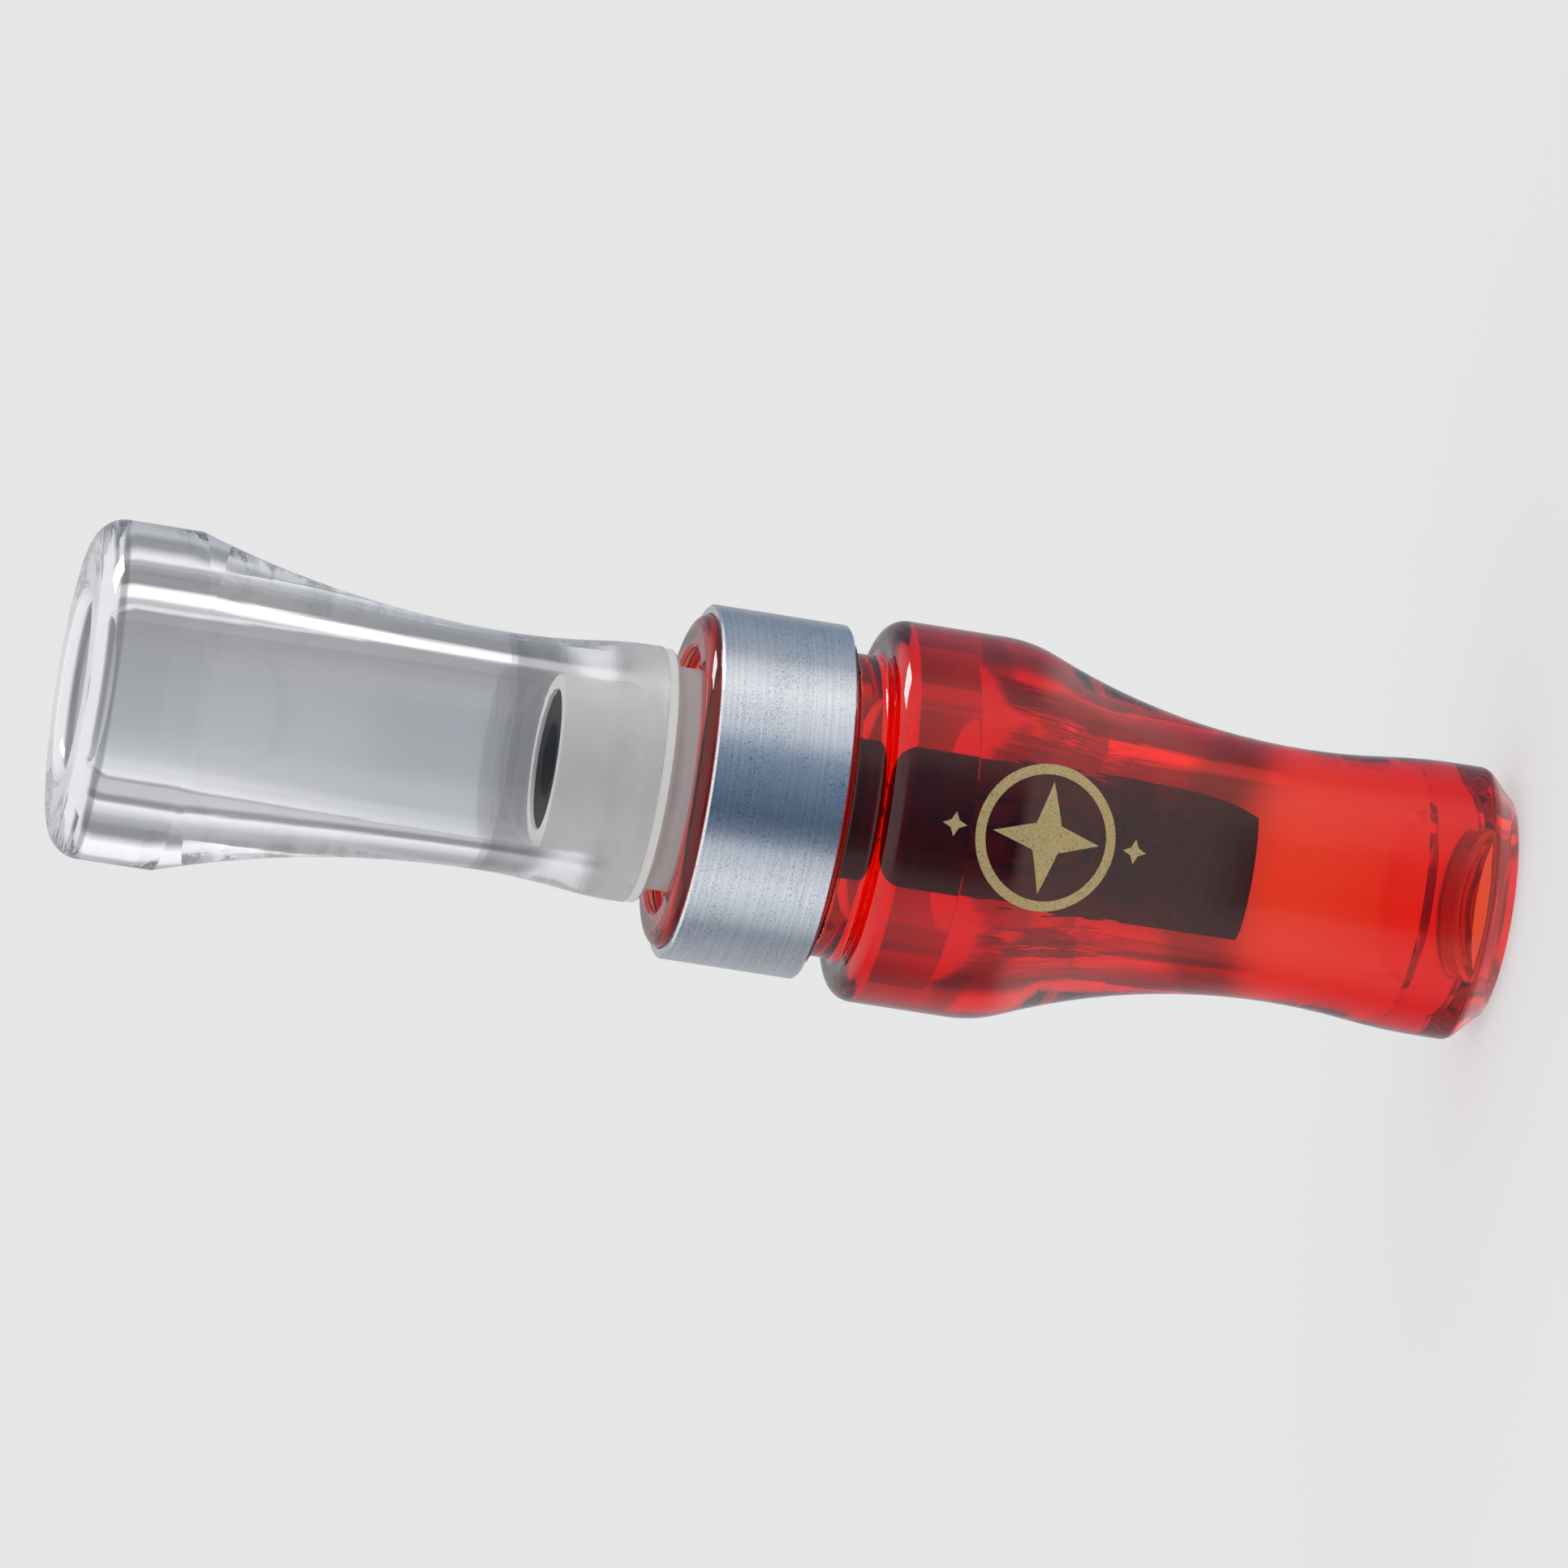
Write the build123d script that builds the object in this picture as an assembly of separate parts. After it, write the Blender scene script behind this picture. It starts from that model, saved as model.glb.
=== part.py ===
from build123d import *
import os
from math import acos, asin, degrees, radians, tan

# A two-part game call that stands upright on its mouthpiece lip. Millimetres, +Z along the
# bore towards the exhaust end, origin at the centre of the lip's flat face.
# Every outline is drawn as (radius, height) and turned about Z.

# --- overall stations along the bore -------------------------------------------------------
TOTAL_LENGTH = 128.9
BARREL_TOP = 74.8
INSERT_GAP = 1.5
FLANGE_BOTTOM = BARREL_TOP + INSERT_GAP
FLANGE_THICKNESS = 1.2
GLUE_LINE = 0.05
BELL_BOTTOM = FLANGE_BOTTOM + FLANGE_THICKNESS + GLUE_LINE

# --- barrel, outside -----------------------------------------------------------------------
LIP_RADIUS = 9.9
LIP_EDGE = 0.25
LIP_CROWN = (11.1, 1.3)
CROWN_FOOT = (11.22, 1.35)
CROWN_RADIUS = 12.3
CROWN_BEVEL = 45.0
CROWN_EDGE = 1.2
WAIST_HEIGHT = 18.9
WAIST_RADIUS = 11.4
CROWN_SWEEP = 57.0
BODY_RADIUS = 17.1
BODY_HOLLOW = 61.5
BODY_SHOULDER = 12.0
BODY_TOP = 58.1
BODY_EDGE = 2.0
GROOVE_RADIUS = 13.6
GROOVE_TOP = 61.2
GROOVE_FILLET = 0.7
MOUTH_EDGE = 1.3

# --- barrel, inside ------------------------------------------------------------------------
SOCKET_RADIUS = 10.05
SOCKET_BOTTOM = 49.6
COUNTERBORE_RADIUS = 11.95
COUNTERBORE_DEPTH = 0.9
SMALL_CHAMFER = 0.3
CONE_TOP_RADIUS = 9.5
BARREL_BORE_RADIUS = 7.94
BORE_CONE_BOTTOM = 38.7
DRILL_POINT_TOP = 7.9
THROAT_RADIUS = 6.9
THROAT_TOP = 6.9
THROAT_BOTTOM = 2.0
FLARE_RADIUS = 8.8

# --- band ----------------------------------------------------------------------------------
BAND_RADIUS = 15.875
BAND_SEAT_RADIUS = 15.0
BAND_BOTTOM = 61.5
BAND_TOP = 73.7
BAND_CHAMFER = 0.2

# --- exhaust bell --------------------------------------------------------------------------
BELL_RADIUS = 15.12
BELL_EDGE = 2.8
BELL_BREAK = 119.5
BELL_WAIST_HEIGHT = 91.0
BELL_WAIST_RADIUS = 10.6
BELL_HOLLOW = 92.5
BELL_FOOT_RADIUS = 11.45
BELL_FOOT_HOLLOW = 60.0
BELL_FOOT_CROWN = 30.0
EXHAUST_BORE_RADIUS = 7.94
EXHAUST_ROUND = 1.36

# --- tenon sleeve --------------------------------------------------------------------------
SLEEVE_TOP = 86.2
SLEEVE_BOTTOM = 61.2
SPIGOT_RADIUS = 7.8
FLANGE_RADIUS = 11.35
FLANGE_CHAMFER = 0.4
TENON_RADIUS = 9.95
RING_GROOVE_RADIUS = 8.65
RING_GROOVE_WIDTH = 2.0
RING_GROOVE_HEIGHTS = (71.2, 65.2)

# --- sealing rings -------------------------------------------------------------------------
RING_CLEARANCE = 0.03
RING_HEIGHT = 1.8
RING_ROUND = 0.6

# --- tone board, reed and wedge: FACE_TURN turns all three about the bore ---------------------
FACE_TURN = 55.0
BOARD_RADIUS = 6.35
BOARD_TOP = 85.85
BOARD_TIP = 23.4
BOARD_FACE = 2.05
NOTCH_TOP = 71.7
REED_PIVOT = 66.2
LAY_ANGLE = 1.3
LAY_END = 33.2
LAY_TIP_SWEEP = 21.0
CHANNEL_RADIUS = 3.4
CHANNEL_END = 34.2
REED_THICKNESS = 0.25
REED_WIDTH = 9.5
REED_TIP = 25.9
REED_CORNER = 2.5
REED_SLACK = 0.1
REED_TOP = 71.2
WEDGE_BOTTOM = 61.5
WEDGE_TOP = 71.3
WEDGE_SLACK = 0.12
WEDGE_EDGE = 0.6


def ogee(waist, direction, rise, hollow, crown):
    """Hollow arc and rounded arc that lift an outline by rise, away from its waist."""
    turn = degrees(acos(1 - rise / (hollow + crown)))
    lift = JernArc(start=waist, tangent=(0, direction), radius=hollow, arc_size=-direction * turn)
    ease = JernArc(start=lift @ 1, tangent=lift % 1, radius=crown, arc_size=direction * turn)
    return [lift, ease]


def quarter(start, end, corner):
    """Quarter round from start to end about a centre that lies across from the corner."""
    centre = Vector(start) + Vector(end) - Vector(corner)
    middle = centre + (Vector(corner) - centre).normalized() * (Vector(start) - centre).length
    return ThreePointArc(start, middle, end)


def turned(edges):
    """Solid turned about Z from edges that close an outline of (radius, height)."""
    return revolve(Plane.XZ * make_face(edges), Axis.Z)


def ring_block(inner, outer, bottom, top):
    """Plain turned ring."""
    corners = [(inner, bottom), (outer, bottom), (outer, top), (inner, top)]
    return turned(Polyline(*corners, close=True).edges())


def make_barrel():
    """Mouthpiece, waist, body, lanyard groove and band seat in one turned piece."""
    waist = (WAIST_RADIUS, WAIST_HEIGHT)
    below = ogee(waist, -1, CROWN_RADIUS - WAIST_RADIUS, CROWN_SWEEP, CROWN_SWEEP)
    above = ogee(waist, 1, BODY_RADIUS - WAIST_RADIUS, BODY_HOLLOW, BODY_SHOULDER)
    bevel_rise = (CROWN_RADIUS - CROWN_FOOT[0]) / tan(radians(CROWN_BEVEL))
    edge_run = CROWN_EDGE * tan(radians(CROWN_BEVEL / 2))
    crown_start = (CROWN_RADIUS, CROWN_FOOT[1] + bevel_rise + edge_run)
    crown_edge = JernArc(
        start=crown_start, tangent=(0, -1), radius=CROWN_EDGE, arc_size=-CROWN_BEVEL
    )

    outside = [
        *Polyline(
            (LIP_RADIUS, 0),
            (LIP_RADIUS + LIP_EDGE, LIP_EDGE),
            LIP_CROWN,
            CROWN_FOOT,
            crown_edge @ 1,
        ).edges(),
        crown_edge,
        Line(crown_start, below[1] @ 1),
        *below,
        *above,
        Line(above[1] @ 1, (BODY_RADIUS, BODY_TOP - BODY_EDGE)),
        quarter(
            (BODY_RADIUS, BODY_TOP - BODY_EDGE),
            (BODY_RADIUS - BODY_EDGE, BODY_TOP),
            (BODY_RADIUS, BODY_TOP),
        ),
        Line((BODY_RADIUS - BODY_EDGE, BODY_TOP), (GROOVE_RADIUS + GROOVE_FILLET, BODY_TOP)),
        quarter(
            (GROOVE_RADIUS + GROOVE_FILLET, BODY_TOP),
            (GROOVE_RADIUS, BODY_TOP + GROOVE_FILLET),
            (GROOVE_RADIUS, BODY_TOP),
        ),
        Line((GROOVE_RADIUS, BODY_TOP + GROOVE_FILLET), (GROOVE_RADIUS, GROOVE_TOP - GROOVE_FILLET)),
        quarter(
            (GROOVE_RADIUS, GROOVE_TOP - GROOVE_FILLET),
            (GROOVE_RADIUS + GROOVE_FILLET, GROOVE_TOP),
            (GROOVE_RADIUS, GROOVE_TOP),
        ),
        Line((GROOVE_RADIUS + GROOVE_FILLET, GROOVE_TOP), (BAND_SEAT_RADIUS, GROOVE_TOP)),
        Line((BAND_SEAT_RADIUS, GROOVE_TOP), (BAND_SEAT_RADIUS, BARREL_TOP - MOUTH_EDGE)),
        quarter(
            (BAND_SEAT_RADIUS, BARREL_TOP - MOUTH_EDGE),
            (BAND_SEAT_RADIUS - MOUTH_EDGE, BARREL_TOP),
            (BAND_SEAT_RADIUS, BARREL_TOP),
        ),
    ]

    counterbore_floor = BARREL_TOP - COUNTERBORE_DEPTH
    inside = [
        *Polyline(
            (LIP_RADIUS, 0),
            (FLARE_RADIUS, 0),
            (THROAT_RADIUS, THROAT_BOTTOM),
            (THROAT_RADIUS, THROAT_TOP),
            (BARREL_BORE_RADIUS, DRILL_POINT_TOP),
            (BARREL_BORE_RADIUS, BORE_CONE_BOTTOM),
            (CONE_TOP_RADIUS, SOCKET_BOTTOM),
            (SOCKET_RADIUS, SOCKET_BOTTOM),
            (SOCKET_RADIUS, counterbore_floor - SMALL_CHAMFER),
            (SOCKET_RADIUS + SMALL_CHAMFER, counterbore_floor),
            (COUNTERBORE_RADIUS, counterbore_floor),
            (COUNTERBORE_RADIUS, BARREL_TOP - SMALL_CHAMFER),
            (COUNTERBORE_RADIUS + SMALL_CHAMFER, BARREL_TOP),
            (BAND_SEAT_RADIUS - MOUTH_EDGE, BARREL_TOP),
        ).edges(),
    ]
    return turned(outside + inside)


def make_band():
    """Metal ferrule glued on the barrel's mouth, with its outer edges broken."""
    blank = ring_block(BAND_SEAT_RADIUS + GLUE_LINE, BAND_RADIUS, BAND_BOTTOM, BAND_TOP)
    rims = blank.edges().filter_by(GeomType.CIRCLE).group_by(SortBy.RADIUS)[-1]
    return chamfer(rims, BAND_CHAMFER)


def make_exhaust_bell():
    """Clear bell of the insert: a plain bore inside a waisted, flared outside."""
    waist = (BELL_WAIST_RADIUS, BELL_WAIST_HEIGHT)
    foot = ogee(waist, -1, BELL_FOOT_RADIUS - BELL_WAIST_RADIUS, BELL_FOOT_HOLLOW, BELL_FOOT_CROWN)
    hollow_turn = degrees(asin((BELL_BREAK - BELL_WAIST_HEIGHT) / BELL_HOLLOW))
    hollow = JernArc(start=waist, tangent=(0, 1), radius=BELL_HOLLOW, arc_size=-hollow_turn)
    edges = [
        Line((EXHAUST_BORE_RADIUS, BELL_BOTTOM), (BELL_FOOT_RADIUS, BELL_BOTTOM)),
        Line((BELL_FOOT_RADIUS, BELL_BOTTOM), foot[1] @ 1),
        *foot,
        hollow,
        Line(hollow @ 1, (BELL_RADIUS, TOTAL_LENGTH - BELL_EDGE)),
        quarter(
            (BELL_RADIUS, TOTAL_LENGTH - BELL_EDGE),
            (BELL_RADIUS - BELL_EDGE, TOTAL_LENGTH),
            (BELL_RADIUS, TOTAL_LENGTH),
        ),
        Line((BELL_RADIUS - BELL_EDGE, TOTAL_LENGTH), (EXHAUST_BORE_RADIUS + EXHAUST_ROUND, TOTAL_LENGTH)),
        quarter(
            (EXHAUST_BORE_RADIUS + EXHAUST_ROUND, TOTAL_LENGTH),
            (EXHAUST_BORE_RADIUS, TOTAL_LENGTH - EXHAUST_ROUND),
            (EXHAUST_BORE_RADIUS, TOTAL_LENGTH),
        ),
        Line((EXHAUST_BORE_RADIUS, TOTAL_LENGTH - EXHAUST_ROUND), (EXHAUST_BORE_RADIUS, BELL_BOTTOM)),
    ]
    return turned(edges)


def make_tenon_sleeve():
    """Spigot inside the bell, flange under it and tenon in the barrel, bored for the tone board."""
    bore = BOARD_RADIUS + GLUE_LINE
    flange_top = FLANGE_BOTTOM + FLANGE_THICKNESS
    outline = Polyline(
        (bore, SLEEVE_BOTTOM),
        (TENON_RADIUS - SMALL_CHAMFER, SLEEVE_BOTTOM),
        (TENON_RADIUS, SLEEVE_BOTTOM + SMALL_CHAMFER),
        (TENON_RADIUS, FLANGE_BOTTOM),
        (FLANGE_RADIUS - FLANGE_CHAMFER, FLANGE_BOTTOM),
        (FLANGE_RADIUS, FLANGE_BOTTOM + FLANGE_CHAMFER),
        (FLANGE_RADIUS, flange_top),
        (SPIGOT_RADIUS, flange_top),
        (SPIGOT_RADIUS, SLEEVE_TOP),
        (bore, SLEEVE_TOP),
        close=True,
    )
    sleeve = turned(outline.edges())
    for height in RING_GROOVE_HEIGHTS:
        bottom = height - RING_GROOVE_WIDTH / 2
        sleeve -= ring_block(RING_GROOVE_RADIUS, BODY_RADIUS, bottom, bottom + RING_GROOVE_WIDTH)
    return sleeve


def make_sealing_ring(height):
    """Rubber ring between the tenon's groove and the barrel's socket."""
    inner = RING_GROOVE_RADIUS + RING_CLEARANCE
    outer = SOCKET_RADIUS - RING_CLEARANCE
    section = RectangleRounded(outer - inner, RING_HEIGHT, RING_ROUND)
    placed = Pos((inner + outer) / 2, height) * section
    return revolve(Plane.XZ * placed, Axis.Z)


def lay_height(z):
    """Height of the tone board's straight lay above the bore's axis."""
    return BOARD_FACE - (REED_PIVOT - z) * tan(radians(LAY_ANGLE))


def make_tone_board():
    """Rod with a face cut for the reed, a lay that falls away to its tip, and a tone channel."""
    rod = Pos(0, 0, BOARD_TIP) * Cylinder(
        BOARD_RADIUS, BOARD_TOP - BOARD_TIP, align=(Align.CENTER, Align.CENTER, Align.MIN)
    )
    lay = Line((BOARD_FACE, REED_PIVOT), (lay_height(LAY_END), LAY_END))
    tip_turn = degrees(asin((LAY_END - BOARD_TIP) / LAY_TIP_SWEEP))
    tip = JernArc(start=lay @ 1, tangent=lay % 1, radius=LAY_TIP_SWEEP, arc_size=-tip_turn)
    clear = 2 * BOARD_RADIUS
    cut_edges = [
        lay,
        tip,
        *Polyline(
            tip @ 1,
            ((tip @ 1).X, 0),
            (clear, 0),
            (clear, NOTCH_TOP),
            (BOARD_FACE, NOTCH_TOP),
            (BOARD_FACE, REED_PIVOT),
        ).edges(),
    ]
    cut = extrude(Plane.XZ * make_face(cut_edges), clear, both=True)
    channel = Pos(0, 0, CHANNEL_END) * Cylinder(
        CHANNEL_RADIUS, BOARD_TOP - CHANNEL_END, align=(Align.CENTER, Align.CENTER, Align.MIN)
    )
    channel_nose = Pos(0, 0, CHANNEL_END) * Sphere(CHANNEL_RADIUS)
    return rod - cut - channel - channel_nose


def make_reed():
    """Thin strip that stands just clear of the lay, with its two tip corners cut."""
    half = REED_WIDTH / 2
    outline = Polyline(
        (half, REED_TOP),
        (half, REED_TIP + REED_CORNER),
        (half - REED_CORNER, REED_TIP),
        (REED_CORNER - half, REED_TIP),
        (-half, REED_TIP + REED_CORNER),
        (-half, REED_TOP),
        close=True,
    )
    strip = extrude(Plane.YZ * make_face(outline.edges()), REED_THICKNESS)
    return Pos(BOARD_FACE + REED_SLACK, 0, 0) * strip


def make_wedge():
    """Block that holds the reed's end down, round on top where it bears on the sleeve's bore."""
    underside = BOARD_FACE + REED_SLACK + REED_THICKNESS + WEDGE_SLACK
    rod = Pos(0, 0, WEDGE_BOTTOM) * Cylinder(
        BOARD_RADIUS, WEDGE_TOP - WEDGE_BOTTOM, align=(Align.CENTER, Align.CENTER, Align.MIN)
    )
    upper_half = Pos(underside, 0, 0) * Box(
        BOARD_RADIUS, 2 * BOARD_RADIUS, 2 * TOTAL_LENGTH, align=(Align.MIN, Align.CENTER, Align.CENTER)
    )
    block = rod & upper_half
    ends = block.edges().filter_by(Axis.Y).group_by(Axis.Z)[0]
    return chamfer(ends, WEDGE_EDGE)


def main():
    os.makedirs("parts", exist_ok=True)
    face_turn = Rot(0, 0, FACE_TURN)
    nodes = {
        "barrel": make_barrel(),
        "band": make_band(),
        "exhaust_bell": make_exhaust_bell(),
        "tenon_sleeve": make_tenon_sleeve(),
        "upper_o_ring": make_sealing_ring(RING_GROOVE_HEIGHTS[0]),
        "lower_o_ring": make_sealing_ring(RING_GROOVE_HEIGHTS[1]),
        "tone_board": face_turn * make_tone_board(),
        "reed": face_turn * make_reed(),
        "reed_wedge": face_turn * make_wedge(),
    }
    for name, shape in nodes.items():
        shape.label = name
        export_step(shape, f"parts/{name}.step")


main()
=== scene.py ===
import bpy
import bmesh
from math import cos, pi, radians, sin
from mathutils import Matrix, Vector
from mathutils.bvhtree import BVHTree


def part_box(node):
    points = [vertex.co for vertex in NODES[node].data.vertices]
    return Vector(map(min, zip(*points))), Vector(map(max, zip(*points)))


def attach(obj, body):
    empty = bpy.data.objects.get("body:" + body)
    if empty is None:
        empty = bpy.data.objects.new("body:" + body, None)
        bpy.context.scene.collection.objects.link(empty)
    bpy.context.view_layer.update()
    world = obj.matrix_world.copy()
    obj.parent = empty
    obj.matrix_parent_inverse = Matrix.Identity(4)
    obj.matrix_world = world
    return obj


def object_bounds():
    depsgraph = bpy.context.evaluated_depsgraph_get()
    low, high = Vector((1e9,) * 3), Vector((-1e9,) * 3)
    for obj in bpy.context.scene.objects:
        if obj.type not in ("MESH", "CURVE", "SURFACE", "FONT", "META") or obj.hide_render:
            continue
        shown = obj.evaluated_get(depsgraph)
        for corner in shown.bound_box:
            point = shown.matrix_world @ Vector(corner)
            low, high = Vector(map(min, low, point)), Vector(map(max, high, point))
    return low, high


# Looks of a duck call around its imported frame: see-through barrel and bell, metal band, printed mark,
# floor, light and camera.

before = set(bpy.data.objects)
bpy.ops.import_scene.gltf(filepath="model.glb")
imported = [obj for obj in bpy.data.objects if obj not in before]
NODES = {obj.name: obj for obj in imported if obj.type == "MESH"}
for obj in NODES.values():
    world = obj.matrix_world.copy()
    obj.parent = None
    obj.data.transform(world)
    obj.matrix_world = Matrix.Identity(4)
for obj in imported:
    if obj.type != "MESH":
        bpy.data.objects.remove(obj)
cad_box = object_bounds()

MM = 0.001
ACRYLIC_IOR = 1.49
LOW, HIGH = (Vector(corner) for corner in cad_box)
MIDDLE = (LOW + HIGH) / 2

# --- camera ---------------------------------------------------------------------------------------
CAMERA_DISTANCE = 1.4
CAMERA_ELEVATION = radians(9.0)
CAMERA_ROLL = radians(81.05)
FRAME_WIDTH = 139.0 * MM
AIM_RIGHT = -0.22 * MM
AIM_UP = 1.15 * MM
SENSOR = 36.0


# --- small helpers --------------------------------------------------------------------------------
class Graph:
    """A node material in the making, with short calls to add and join nodes."""

    def __init__(self, name, owner=None, output="ShaderNodeOutputMaterial"):
        self.owner = owner or bpy.data.materials.new(name)
        self.owner.use_nodes = True
        self.tree = self.owner.node_tree
        self.tree.nodes.clear()
        self.output = self.tree.nodes.new(output)

    def add(self, kind, settings=None, **inputs):
        """New node; settings are its own properties, inputs are values or other nodes' outputs."""
        node = self.tree.nodes.new(kind)
        for key, value in (settings or {}).items():
            setattr(node, key, value)
        for key, value in inputs.items():
            socket = node.inputs[int(key[1:])] if key[1:].isdigit() else node.inputs[key.replace("_", " ")]
            if isinstance(value, bpy.types.NodeSocket):
                self.tree.links.new(value, socket)
            else:
                socket.default_value = value
        return node

    def finish(self, surface, volume=None):
        self.tree.links.new(surface.outputs[0], self.output.inputs["Surface"])
        if volume:
            self.tree.links.new(volume.outputs[0], self.output.inputs["Volume"])
        return self.owner

    def math(self, operation, first, second):
        node = self.add("ShaderNodeMath", {"operation": operation}, i0=first, i1=second)
        return node.outputs["Value"]

    def place(self):
        """Object coordinates, which are the row frame in metres."""
        return self.add("ShaderNodeTexCoord").outputs["Object"]

    def stretched(self, scale):
        """Object coordinates times a scale for each axis."""
        return self.add("ShaderNodeMapping", Vector=self.place(), Scale=scale).outputs["Vector"]

    def noise(self, vector, scale, detail=3.0, roughness=0.5):
        node = self.add("ShaderNodeTexNoise", Vector=vector, Scale=scale, Detail=detail, Roughness=roughness)
        return node.outputs["Fac"]

    def ramp(self, factor, stops):
        """Colour ramp through (position, colour) stops."""
        node = self.add("ShaderNodeValToRGB", Fac=factor)
        elements = node.color_ramp.elements
        while len(elements) < len(stops):
            elements.new(0.5)
        for element, (position, colour) in zip(elements, stops):
            element.position = position
            element.color = (*colour, 1.0)
        return node.outputs["Color"]

    def span(self, value, low, high):
        """Value from 0 to 1 mapped to low to high."""
        node = self.add("ShaderNodeMapRange", Value=value, To_Min=low, To_Max=high)
        return node.outputs["Result"]

    def fade(self, value, start, end):
        """Smooth step from 0 at start to 1 at end."""
        settings = {"interpolation_type": "SMOOTHSTEP"}
        node = self.add("ShaderNodeMapRange", settings, Value=value, From_Min=start, From_Max=end)
        return node.outputs["Result"]

    def between(self, value, rise, fall):
        """Smooth step up across rise and down across fall, each given as (low, high)."""
        return self.math("MULTIPLY", self.fade(value, *rise), self.fade(value, fall[1], fall[0]))

    def blend(self, factor, first, second):
        """Colour between two colours."""
        node = self.add("ShaderNodeMix", {"data_type": "RGBA"}, i0=factor, i6=first, i7=second)
        return node.outputs[2]

    def around(self, vector, stops):
        """Colour by angle in degrees about the bore, where 0 is -Y and 90 is +X, and the vector's height."""
        split = self.add("ShaderNodeSeparateXYZ", Vector=vector).outputs
        angle = self.math("ARCTAN2", split["X"], self.math("MULTIPLY", split["Y"], -1.0))
        turn = self.add("ShaderNodeMapRange", Value=angle, From_Min=-pi, From_Max=pi).outputs["Result"]
        return self.ramp(turn, [(0.5 + degree / 360, colour) for degree, colour in stops]), split["Z"]

    def bump(self, height, distance, strength=1.0, normal=None):
        inputs = {"Height": height, "Distance": distance, "Strength": strength}
        if normal is not None:
            inputs["Normal"] = normal
        return self.add("ShaderNodeBump", **inputs).outputs["Normal"]


def wear_lines(graph, scale_across, scale_along, detail=4.0):
    """Noise drawn out round the bore, as fine turning marks are."""
    return graph.noise(graph.stretched((scale_across, scale_across, scale_along)), 1.0, detail)


# --- materials ------------------------------------------------------------------------------------
# The reamer streaks fade out between these radii, and in and out between these heights.
STREAK_RADII = (11.5 * MM, 10.5 * MM)
STREAK_RISE = (33.0 * MM, 39.0 * MM)
STREAK_FALL = (45.0 * MM, 49.0 * MM)
# The haze in the clear bell is full up to one height above its foot and gone at the other.
HAZE_FULL = 1.5 * MM
HAZE_END = 4.5 * MM


def polished_normal(graph):
    """Normal of turned and polished acrylic: faint waves and finer lines round the bore."""
    waves = wear_lines(graph, 20.0, 1200.0, 1.0)
    marks = wear_lines(graph, 60.0, 5200.0)
    return graph.bump(marks, 0.0002 * MM, normal=graph.bump(waves, 0.0012 * MM))


def bore_streaks(graph, normal):
    """Long reamer streaks on the cone inside the barrel's body."""
    across = graph.add("ShaderNodeVectorMath", {"operation": "LENGTH"}, i0=graph.stretched((1.0, 1.0, 0.0)))
    inside = graph.fade(across.outputs["Value"], *STREAK_RADII)
    height = graph.add("ShaderNodeSeparateXYZ", Vector=graph.place()).outputs["Z"]
    level = graph.between(height, STREAK_RISE, STREAK_FALL)
    streaks = graph.noise(graph.stretched((420.0, 420.0, 70.0)), 1.0, 3.0)
    relief = graph.math("MULTIPLY", streaks, graph.math("MULTIPLY", inside, level))
    return graph.bump(relief, 0.4 * MM, normal=normal)


def red_acrylic():
    graph = Graph("red_acrylic")
    normal = bore_streaks(graph, polished_normal(graph))
    shader = graph.add(
        "ShaderNodeBsdfPrincipled",
        Base_Color=(1.0, 0.97, 0.96, 1.0),
        Roughness=graph.span(graph.noise(graph.place(), 420.0), 0.0, 0.05),
        IOR=ACRYLIC_IOR,
        Transmission_Weight=1.0,
        Normal=normal,
    )
    volume = graph.add("ShaderNodeVolumeAbsorption", Color=(0.984, 0.31, 0.0, 1.0), Density=620.0)
    return graph.finish(shader, volume)


def clear_acrylic():
    graph = Graph("clear_acrylic")
    height = graph.add("ShaderNodeSeparateXYZ", Vector=graph.place()).outputs["Z"]
    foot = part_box("exhaust_bell")[0][2]
    haze = graph.fade(height, foot + HAZE_END, foot + HAZE_FULL)
    polish = graph.span(graph.noise(graph.place(), 420.0), 0.0, 0.04)
    patches = graph.fade(graph.noise(graph.place(), 130.0, 2.0), 0.5, 0.62)
    hatch = graph.math("MULTIPLY", wear_lines(graph, 60.0, 2600.0, 1.0), patches)
    shader = graph.add(
        "ShaderNodeBsdfPrincipled",
        Base_Color=graph.blend(haze, (0.985, 0.99, 1.0, 1.0), (0.96, 0.955, 0.94, 1.0)),
        Roughness=graph.math("ADD", polish, graph.math("MULTIPLY", haze, 0.22)),
        IOR=ACRYLIC_IOR,
        Transmission_Weight=graph.span(haze, 1.0, 0.72),
        Normal=graph.bump(hatch, 0.004 * MM, normal=polished_normal(graph)),
    )
    return graph.finish(shader)


def frosted_acrylic():
    graph = Graph("frosted_acrylic")
    marks = wear_lines(graph, 40.0, 6000.0)
    grain = graph.noise(graph.place(), 3000.0, 4.0)
    clouds = graph.noise(graph.place(), 300.0)
    colour = graph.ramp(clouds, [(0.3, (0.93, 0.905, 0.86)), (0.7, (0.985, 0.965, 0.93))])
    normal = graph.bump(marks, 0.01 * MM)
    normal = graph.bump(grain, 0.006 * MM, normal=normal)
    shader = graph.add(
        "ShaderNodeBsdfPrincipled",
        Base_Color=colour,
        Roughness=0.5,
        IOR=ACRYLIC_IOR,
        Normal=normal,
    )
    return graph.finish(shader)


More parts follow.
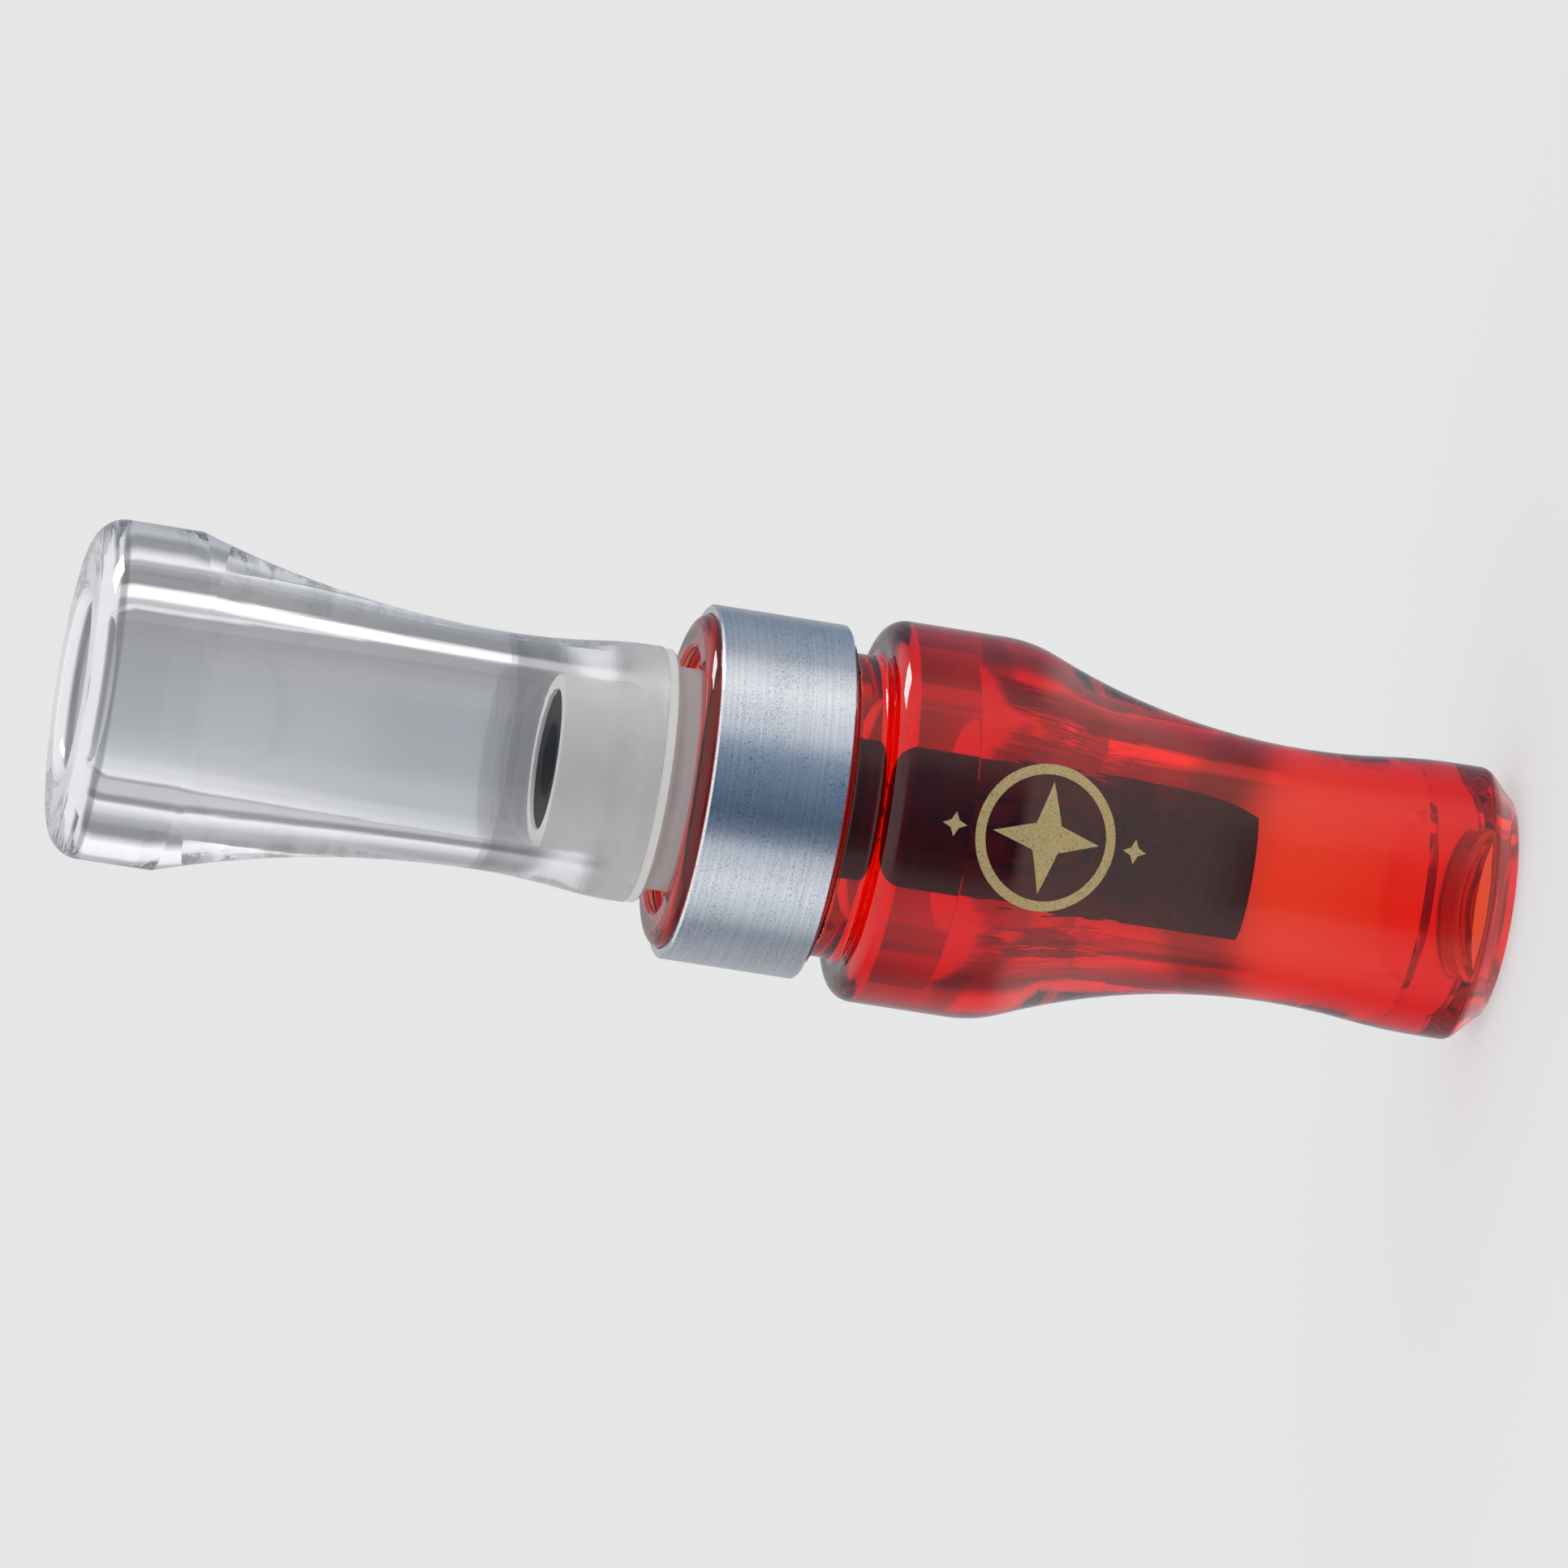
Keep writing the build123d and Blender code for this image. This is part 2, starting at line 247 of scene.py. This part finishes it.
def band_metal():
    graph = Graph("band_metal")
    lines = wear_lines(graph, 12.0, 3800.0, 2.0)
    marks = wear_lines(graph, 25.0, 9000.0)
    grain = graph.noise(graph.place(), 6500.0, 2.0)
    patches = graph.noise(graph.place(), 260.0, 3.0)
    turned = graph.ramp(lines, [(0.36, (0.72, 0.74, 0.78)), (0.62, (0.86, 0.87, 0.89))])
    specks = graph.fade(graph.math("ADD", grain, graph.math("MULTIPLY", patches, 0.25)), 0.56, 0.46)
    colour = graph.blend(specks, turned, (0.42, 0.46, 0.54, 1.0))
    normal = graph.bump(marks, 0.004 * MM)
    normal = graph.bump(lines, 0.006 * MM, normal=normal)
    normal = graph.bump(grain, 0.004 * MM, normal=normal)
    shader = graph.add(
        "ShaderNodeBsdfPrincipled",
        Base_Color=colour,
        Metallic=1.0,
        Roughness=graph.span(graph.noise(graph.place(), 2600.0), 0.08, 0.26),
        Normal=normal,
    )
    return graph.finish(shader)


def plain_piece(name, dark, light, roughness, grain_scale, grain_depth, shine=0.5):
    """Solid plastic or rubber with a slight mottle and grain."""
    graph = Graph(name)
    colour = graph.ramp(graph.noise(graph.place(), grain_scale / 4), [(0.3, dark), (0.7, light)])
    grain = graph.noise(graph.place(), grain_scale, 4.0)
    shader = graph.add(
        "ShaderNodeBsdfPrincipled",
        Base_Color=colour,
        Roughness=graph.span(grain, roughness - 0.08, roughness + 0.08),
        Specular_IOR_Level=shine,
        Normal=graph.bump(grain, grain_depth),
    )
    return graph.finish(shader)


def reed_film():
    graph = Graph("reed_film")
    streaks = graph.noise(graph.stretched((900.0, 900.0, 90.0)), 1.0, 3.0)
    colour = graph.ramp(streaks, [(0.3, (0.62, 0.63, 0.6)), (0.7, (0.74, 0.74, 0.72))])
    shader = graph.add(
        "ShaderNodeBsdfPrincipled",
        Base_Color=colour,
        Roughness=0.35,
        Transmission_Weight=0.3,
        IOR=1.57,
        Normal=graph.bump(streaks, 0.002 * MM),
    )
    return graph.finish(shader)


def gold_print():
    graph = Graph("gold_print")
    speckle = graph.noise(graph.place(), 5200.0, 4.0, 0.7)
    golds = [(0.33, (0.20, 0.13, 0.05)), (0.43, (0.50, 0.38, 0.17)), (0.70, (0.62, 0.49, 0.25))]
    colour = graph.ramp(speckle, golds)
    shader = graph.add(
        "ShaderNodeBsdfPrincipled",
        Base_Color=colour,
        Metallic=0.35,
        Roughness=0.6,
        Normal=graph.bump(speckle, 0.01 * MM),
    )
    return graph.finish(shader)


def pale_floor():
    graph = Graph("pale_floor")
    clouds = graph.noise(graph.place(), 3.0)
    shade = graph.ramp(clouds, [(0.3, (0.335, 0.335, 0.335)), (0.7, (0.345, 0.345, 0.345))])
    shader = graph.add(
        "ShaderNodeBsdfPrincipled",
        Base_Color=shade,
        Roughness=0.9,
        Specular_IOR_Level=0.1,
        Emission_Color=(1.0, 1.0, 1.0, 1.0),
        Emission_Strength=0.495,
    )
    return graph.finish(shader)


def dress(node, material):
    """Give a CAD node its material through its object's slots."""
    for slot in NODES[node].material_slots:
        slot.material = material


# --- printed mark ---------------------------------------------------------------------------------
MARK_CENTRE = 43.6 * MM
MARK_PROUD = 0.02 * MM
FILM_THICKNESS = 0.015 * MM
FINEST_EDGE = 0.8 * MM
RING_RADII = (5.6 * MM, 6.5 * MM)
STAR_RADII = (5.0 * MM, 1.7 * MM)
SMALL_STAR_RADII = (1.1 * MM, 0.5 * MM)
SMALL_STAR_OFFSET = 8.4 * MM


def flat_point(bm, height, radius, angle):
    """Vertex in the XZ plane at a radius and angle about a height on the Z axis."""
    return bm.verts.new((radius * cos(angle), 0, height + radius * sin(angle)))


def ring_shape(bm, height, inner, outer, segments=96):
    """Flat ring of quads about a height."""
    rows = []
    for radius in (inner, (inner + outer) / 2, outer):
        rows.append([flat_point(bm, height, radius, 2 * pi * i / segments) for i in range(segments)])
    for inside, outside in zip(rows, rows[1:]):
        for i in range(segments):
            j = (i + 1) % segments
            bm.faces.new((inside[i], inside[j], outside[j], outside[i]))


def star_shape(bm, height, reach, waist):
    """Flat four-pointed star about a height."""
    hub = bm.verts.new((0, 0, height))
    rim = [flat_point(bm, height, waist if i % 2 else reach, pi * i / 4) for i in range(8)]
    for i, corner in enumerate(rim):
        bm.faces.new((hub, corner, rim[(i + 1) % len(rim)]))


def printed_mark(material):
    """Plain ring and stars, laid on the barrel's -Y side as a thin film."""
    bm = bmesh.new()
    ring_shape(bm, MARK_CENTRE, *RING_RADII)
    star_shape(bm, MARK_CENTRE, *STAR_RADII)
    for side in (-1, 1):
        star_shape(bm, MARK_CENTRE + side * SMALL_STAR_OFFSET, *SMALL_STAR_RADII)
    for _ in range(3):
        long_edges = [e for e in bm.edges if e.calc_length() > FINEST_EDGE]
        bmesh.ops.subdivide_edges(bm, edges=long_edges, cuts=1, use_grid_fill=True)
    bmesh.ops.triangulate(bm, faces=bm.faces[:])
    skin = BVHTree.FromObject(NODES["barrel"], bpy.context.evaluated_depsgraph_get())
    for vertex in bm.verts:
        start = Vector((vertex.co.x, -1.0, vertex.co.z))
        hit, normal, _, _ = skin.ray_cast(start, Vector((0, 1, 0)))
        vertex.co = hit + normal * MARK_PROUD
    bmesh.ops.recalc_face_normals(bm, faces=bm.faces[:])
    mesh = bpy.data.meshes.new("printed_mark")
    bm.to_mesh(mesh)
    bm.free()
    mesh.materials.append(material)
    mark = bpy.data.objects.new("printed_mark", mesh)
    bpy.context.scene.collection.objects.link(mark)
    solid = mark.modifiers.new("film", "SOLIDIFY")
    solid.thickness = FILM_THICKNESS
    solid.offset = 1.0
    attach(mark, "barrel")


# --- stage, light and camera ----------------------------------------------------------------------
FLOOR_REACH = 6.0


def make_floor():
    mesh = bpy.data.meshes.new("floor")
    corners = [(x * FLOOR_REACH, y * FLOOR_REACH, 0) for x, y in ((-1, -1), (1, -1), (1, 1), (-1, 1))]
    mesh.from_pydata(corners, [], [(0, 1, 2, 3)])
    mesh.materials.append(pale_floor())
    floor = bpy.data.objects.new("floor", mesh)
    bpy.context.scene.collection.objects.link(floor)
    floor.visible_glossy = False
    floor.visible_transmission = False


# Light that falls on the object from all round, by angle about its bore: 0 is -Y, 90 is +X and -90 is -X.
# Two soft banks stand to either side of a dim, cool front.
STUDIO_WALLS = [
    (-180, (0.50, 0.50, 0.52)),
    (-125, (0.38, 0.40, 0.44)),
    (-103, (0.29, 0.32, 0.37)),
    (-84, (0.60, 0.64, 0.68)),
    (-64, (0.82, 0.85, 0.90)),
    (-48, (0.66, 0.69, 0.74)),
    (-37, (0.52, 0.56, 0.62)),
    (-28, (0.17, 0.22, 0.30)),
    (-15, (0.08, 0.12, 0.18)),
    (4, (0.13, 0.19, 0.28)),
    (24, (0.22, 0.29, 0.39)),
    (31, (0.36, 0.42, 0.51)),
    (40, (0.62, 0.66, 0.71)),
    (54, (0.76, 0.79, 0.82)),
    (70, (0.96, 0.96, 0.98)),
    (88, (0.72, 0.74, 0.77)),
    (100, (0.40, 0.44, 0.50)),
    (128, (0.27, 0.34, 0.43)),
    (148, (0.24, 0.29, 0.36)),
    (180, (0.50, 0.50, 0.52)),
]
# Above and below, the walls give way to one pale colour, by the height of the light's direction.
STUDIO_ENDS = (0.95, 0.95, 0.95, 1.0)
STUDIO_FADE_UP = (0.3, 0.6)
STUDIO_FADE_DOWN = (-0.28, -0.5)

# Light that the see-through pieces let in, by the same angle: a grey sweep of paper behind the object,
# with one bright card to each side of it.
TENT_RADIUS = 350.0 * MM
TENT_BOTTOM = -400.0 * MM
TENT_TOP = 500.0 * MM
TENT_SIDES = 128
TENT_WHITE = (0.80, 0.80, 0.82, 1.0)
TENT_DIM = (0.10, 0.10, 0.11, 1.0)
# Heights over which the walls turn pale above, dim at the barrel's level, and white below.
TENT_FADE_UP = (200.0 * MM, 320.0 * MM)
TENT_DIM_RISE = (-30.0 * MM, -5.0 * MM)
TENT_DIM_FALL = (30.0 * MM, 55.0 * MM)
TENT_DIM_SHARE = 0.6
TENT_FADE_DOWN = (8.0 * MM, -40.0 * MM)
TENT_WALLS = [
    (-180, (0.38, 0.39, 0.41)),
    (-165, (0.46, 0.47, 0.49)),
    (-150, (0.74, 0.75, 0.77)),
    (-140, (0.90, 0.90, 0.92)),
    (-134, (0.30, 0.30, 0.31)),
    (-127, (0.25, 0.25, 0.26)),
    (-120, (0.54, 0.55, 0.57)),
    (-100, (0.50, 0.51, 0.53)),
    (-84, (0.60, 0.61, 0.63)),
    (-64, (0.90, 0.90, 0.92)),
    (-45, (0.50, 0.52, 0.55)),
    (45, (0.50, 0.52, 0.55)),
    (64, (0.90, 0.90, 0.92)),
    (84, (0.70, 0.71, 0.73)),
    (100, (0.50, 0.51, 0.53)),
    (111, (0.54, 0.55, 0.57)),
    (116, (1.10, 1.10, 1.12)),
    (131, (1.10, 1.10, 1.12)),
    (138, (0.27, 0.27, 0.28)),
    (162, (0.27, 0.27, 0.28)),
    (176, (0.36, 0.37, 0.39)),
    (180, (0.38, 0.39, 0.41)),
]

LAMP_SIZE = (0.30, 0.45)
LAMP_POWER = 6.0
LAMP_DIRECTION = (0.78, 0.18, 0.60)


def make_light():
    graph = Graph("studio", bpy.data.worlds.new("studio"), "ShaderNodeOutputWorld")
    walls, height = graph.around(graph.add("ShaderNodeTexCoord").outputs["Generated"], STUDIO_WALLS)
    above = graph.blend(graph.fade(height, *STUDIO_FADE_UP), walls, STUDIO_ENDS)
    colour = graph.blend(graph.fade(height, *STUDIO_FADE_DOWN), above, STUDIO_ENDS)
    background = graph.add("ShaderNodeBackground", Color=colour, Strength=1.0)
    bpy.context.scene.world = graph.finish(background)


def tent_glow():
    graph = Graph("tent")
    walls, height = graph.around(graph.place(), TENT_WALLS)
    above = graph.blend(graph.fade(height, *TENT_FADE_UP), walls, STUDIO_ENDS)
    dim = graph.between(height, TENT_DIM_RISE, TENT_DIM_FALL)
    middle = graph.blend(graph.math("MULTIPLY", dim, TENT_DIM_SHARE), above, TENT_DIM)
    colour = graph.blend(graph.fade(height, *TENT_FADE_DOWN), middle, TENT_WHITE)
    material = graph.finish(graph.add("ShaderNodeEmission", Color=colour, Strength=1.0))
    material.cycles.emission_sampling = "NONE"
    return material


def make_tent():
    """Glowing tube round the object that only refracted rays see."""
    bm = bmesh.new()
    rows = []
    for level in (TENT_BOTTOM, TENT_TOP):
        turn = [2 * pi * i / TENT_SIDES for i in range(TENT_SIDES)]
        rows.append([bm.verts.new((TENT_RADIUS * cos(a), TENT_RADIUS * sin(a), level)) for a in turn])
    for i in range(TENT_SIDES):
        j = (i + 1) % TENT_SIDES
        bm.faces.new((rows[0][i], rows[0][j], rows[1][j], rows[1][i]))
    mesh = bpy.data.meshes.new("tent")
    bm.to_mesh(mesh)
    bm.free()
    mesh.materials.append(tent_glow())
    tent = bpy.data.objects.new("tent", mesh)
    bpy.context.scene.collection.objects.link(tent)
    tent.visible_camera = False
    tent.visible_diffuse = False
    tent.visible_glossy = False
    tent.visible_shadow = False
    tent.visible_volume_scatter = False


def make_lamp():
    """Small soft box above and to one side, seen only in reflections, for the highlights on the rims."""
    data = bpy.data.lights.new("soft_box", "AREA")
    data.shape = "RECTANGLE"
    data.size, data.size_y = LAMP_SIZE
    data.energy = LAMP_POWER
    lamp = bpy.data.objects.new("soft_box", data)
    direction = Vector(LAMP_DIRECTION).normalized()
    facing = direction.to_track_quat("Z", "Y").to_matrix().to_4x4()
    lamp.matrix_world = Matrix.Translation(MIDDLE + direction) @ facing
    lamp.visible_camera = False
    lamp.visible_diffuse = False
    lamp.visible_transmission = False
    lamp.visible_volume_scatter = False
    bpy.context.scene.collection.objects.link(lamp)


def make_camera():
    data = bpy.data.cameras.new("camera")
    data.sensor_width = SENSOR
    data.lens = SENSOR * CAMERA_DISTANCE / FRAME_WIDTH
    data.clip_start = 0.05
    data.clip_end = 20.0
    camera = bpy.data.objects.new("camera", data)
    right = Vector((1, 0, 0))
    back = Vector((0, -cos(CAMERA_ELEVATION), sin(CAMERA_ELEVATION)))
    up = back.cross(right)
    turned_right = right * cos(CAMERA_ROLL) - up * sin(CAMERA_ROLL)
    turned_up = right * sin(CAMERA_ROLL) + up * cos(CAMERA_ROLL)
    aim = MIDDLE + turned_right * AIM_RIGHT + turned_up * AIM_UP
    rotation = Matrix((turned_right, turned_up, back)).transposed()
    camera.matrix_world = Matrix.Translation(aim + back * CAMERA_DISTANCE) @ rotation.to_4x4()
    bpy.context.scene.collection.objects.link(camera)
    bpy.context.scene.camera = camera


make_camera()
make_light()
make_tent()
make_lamp()
make_floor()

dress("barrel", red_acrylic())
dress("band", band_metal())
dress("exhaust_bell", clear_acrylic())
dress("tenon_sleeve", frosted_acrylic())
ring_rubber = plain_piece("ring_rubber", (0.015, 0.015, 0.015), (0.03, 0.03, 0.03), 0.6, 4000.0, 0.01 * MM)
black_plastic = plain_piece(
    "black_plastic", (0.026, 0.025, 0.025), (0.042, 0.040, 0.040), 0.75, 3000.0, 0.004 * MM, 0.03
)
wedge_rubber = plain_piece("wedge_rubber", (0.14, 0.08, 0.04), (0.26, 0.16, 0.09), 0.7, 2500.0, 0.03 * MM)
dress("upper_o_ring", ring_rubber)
dress("lower_o_ring", ring_rubber)
dress("tone_board", black_plastic)
dress("reed", reed_film())
dress("reed_wedge", wedge_rubber)
printed_mark(gold_print())

scene = bpy.context.scene
scene.view_settings.view_transform = "Standard"
scene.cycles.max_bounces = 32
scene.cycles.glossy_bounces = 24
scene.cycles.transmission_bounces = 24
